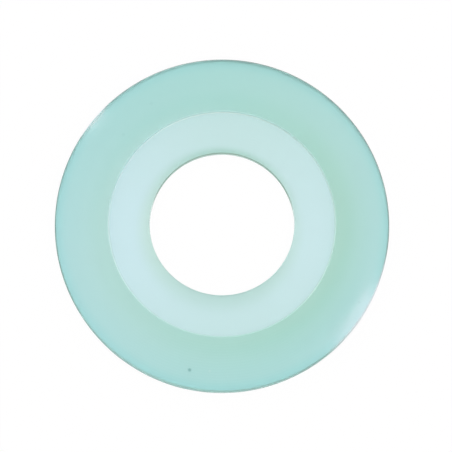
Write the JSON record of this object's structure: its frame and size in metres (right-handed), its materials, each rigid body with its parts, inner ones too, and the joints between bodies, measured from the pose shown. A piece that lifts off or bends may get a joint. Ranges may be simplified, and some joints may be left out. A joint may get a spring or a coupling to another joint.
{
  "type": "stepped flat gasket",
  "caption": "Flat moulded silicone gasket ring with a shallow recess round its bore, in translucent aqua.",
  "frame": {"origin": "on the bore's axis, at the height of the flat underside", "axes": "+Z along the bore's axis, from the underside towards the recessed face; +Y is up in the picture"},
  "size_m": [0.0632, 0.0632, 0.0035],
  "materials": {
    "silicone": "translucent milky aqua silicone, smooth satin moulded skin"
  },
  "bodies": {
    "root": {"sealing_ring": "silicone"}
  },
  "joints": []
}
